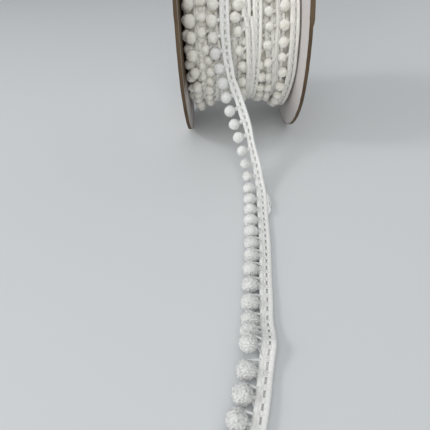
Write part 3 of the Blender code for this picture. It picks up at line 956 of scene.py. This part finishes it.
# Each wound pompom sits a little off its place.
rng = np.random.default_rng(5)
first_pompom = int(WOUND[-1][0])
wound = Trim(np.arange(first_pompom, LAST_ON_ROLL + 1))
upper = np.hypot(wound.middle[:, 1] - AXIS_Y, wound.middle[:, 2] - AXIS_Z) > OUTER_TURNS
wound.middle = wound.middle + rng.normal(0, 0.16, wound.middle.shape)
# The roll's last pompoms before the loose end are made lighter with painted light.
wound_painted_light = np.interp(wound.numbers, [-8, -3], [0.0, -0.6])
wound_balls, wound_radius = pompoms(wound, 8, 13, 0.10, 2.0, 61, 0.09, wound_painted_light)
wound_roots = roots(wound, 4, 6, 1.0, 1.5)
wound_fibres = fuzz(wound, wound_radius, upper, 92, 0.55, 0.10, 2, 62)
put_mesh("wound_bed", [bed()], roll_cotton_painted_warm_light, "roll")
put_mesh("wound_pompoms", [wound_balls, wound_roots], roll_cotton_painted_warm_light, "roll")
put_mesh("wound_fuzz", [wound_fibres], roll_cotton_painted_warm_light, "roll")

coarse = Trim(np.arange(first_pompom, FINE_FROM + 0.01, COARSE_STEP))
wound_rungs = rungs(first_pompom + 0.5, FINE_FROM, 3, 0.52, 3, 4)
put_mesh("wound_heading", both_cords(coarse, 10, 0.05, 71), roll_cord_painted_warm_light, "roll")
put_mesh("wound_ladder", [web(coarse, 6), backing(coarse, 6), wound_rungs], roll_cord_painted_warm_light,
         "roll")


# Loose end.

fine = Trim(np.arange(FINE_FROM, TAIL_ENDS + 0.001, FINE_STEP))
backed = Trim(np.arange(FINE_FROM, TAIL_ENDS + 0.001, BACKING_STEP))
fine_rungs = rungs(FINE_FROM, TAIL_ENDS, 4, 0.42, 5, 6)
heading = put_mesh("tail_heading", both_cords(fine, 20, 0.08, 72), cord_cotton,
                   "tail_cord")
ladder = put_mesh("tail_ladder", [web(fine, 12), backing(backed, 8), fine_rungs], cord_cotton,
                  "tail_cord")

# Pompoms that hang are pressed smooth and made paler with painted light; the nearest ones
# on the floor have opened, with greater relief, and are darkened with painted shade.
hung = Trim(np.arange(LAST_ON_ROLL + 1, TAIL_ENDS))
hung_opened_and_painted_shade = np.interp(hung.numbers, [0, 3, 9, 13, 19], [-0.8, -0.55, -0.5, 0.25, 0.85])
tail_balls, tail_radius = pompoms(hung, 34, 50, 0.06, 0.7, 81, 0.05, hung_opened_and_painted_shade)
tail_roots = roots(hung, 7, 8, np.interp(hung.numbers, [8, 10, 15, 17], [0.7, 1.7, 1.7, 0.9]),
                   np.interp(hung.numbers, [7, 15, 18], [1.9, 1.9, 1.3]))
lying = Trim(np.arange(LIES_FROM, TAIL_ENDS))
strands = [roots(lying, 7, 5, shift, 0.55) for shift in (-2.7, -2.0, -1.3, -0.6, 0.2, 2.4, 3.0)]
tied = ties(np.arange(13, TAIL_ENDS), 9, 6, 0.75)
balls = put_mesh("tail_pompom_balls", [tail_balls, tail_roots, *strands, tied], pompom_cotton,
                 "tail_pompoms")
pulled = snagged_loops(np.linspace(8.3, 9.5, 13), 83)
snag = put_mesh("yarn_snag", [pulled], cord_cotton, "tail_cord")
every = np.ones(len(hung.numbers), dtype=bool)
tail_fibres = fuzz(hung, tail_radius, every, 780, 0.42, 0.075, 2, 82, opened_and_painted_shade=hung_opened_and_painted_shade)
fluff = put_mesh("tail_fuzz", [tail_fibres], pompom_cotton, "tail_pompoms")


# Floor, light and camera.

def floor():
    """A round floor of 3 m, with a point at the middle and one ring."""
    q = np.arange(64) * 2 * np.pi / 64
    ring = np.stack([np.cos(q) * 3.0, np.sin(q) * 3.0, np.zeros(64)], axis=-1)
    mesh = bpy.data.meshes.new("floor")
    faces = [(0, 1 + i, 1 + (i + 1) % 64) for i in range(64)]
    mesh.from_pydata([(0, 0, 0), *map(tuple, ring)], [], faces)
    finish, _, shader = new_finish("floor_paper", 0.5)
    shader.inputs["Base Color"].default_value = (0.67, 0.69, 0.705, 1.0)
    mesh.materials.append(finish)
    plate = bpy.data.objects.new("floor", mesh)
    bpy.context.scene.collection.objects.link(plate)


def area_light(name, place, aim, size, power, colour):
    """A square lamp at a place in mm, turned to face the aim."""
    lamp = bpy.data.lights.new(name, "AREA")
    lamp.size = size
    lamp.energy = power
    lamp.color = colour
    stand = bpy.data.objects.new(name, lamp)
    place, aim = np.array(place, dtype=float), np.array(aim, dtype=float)
    back = unit(place - aim)
    right = unit(np.cross([0.0, 0.0, 1.0], back))
    up = np.cross(back, right)
    turn = Matrix([(*row, 0.0) for row in np.stack([right, up, back], axis=1)] + [(0, 0, 0, 1)])
    stand.matrix_world = Matrix.Translation(place * MM) @ turn
    bpy.context.scene.collection.objects.link(stand)


floor()
area_light("window", (-760, -60, 640), (0, 0, 0), 0.22, 1.75, (1.0, 1.0, 1.0))
area_light("left_wall", (-1000, -160, 400), (0, 0, 0), 0.9, 2.8, (1.0, 1.0, 1.0))
area_light("front", (-150, -1250, 580), (0, 0, 20), 1.1, 5.9, (1.0, 0.985, 0.95))
area_light("back", (520, 430, 430), (0, 20, 0), 0.7, 0.75, (1.0, 0.985, 0.97))
area_light("ceiling", (-60, -280, 740), (0, -60, 0), 0.55, 1.35, (0.97, 1.0, 1.0))
scene = bpy.context.scene
scene.view_settings.view_transform = "Standard"
world = bpy.data.worlds.new("studio")
world.use_nodes = True
world.node_tree.nodes["Background"].inputs["Color"].default_value = (0.96, 0.98, 1.0, 1.0)
world.node_tree.nodes["Background"].inputs["Strength"].default_value = 0.34
scene.world = world

lens = bpy.data.cameras.new("camera")
lens.lens = 29.553
lens.sensor_width = 36.0
lens.clip_start = 0.002
eye = bpy.data.objects.new("camera", lens)
eye.matrix_world = Matrix(
    [
        (0.99878685, 0.04550846, 0.01880966, -0.01195),
        (-0.01584694, 0.65871048, -0.7522296, -0.12960),
        (-0.04662293, 0.75101896, 0.65863254, 0.09452),
        (0, 0, 0, 1),
    ]
)
scene.collection.objects.link(eye)
scene.camera = eye
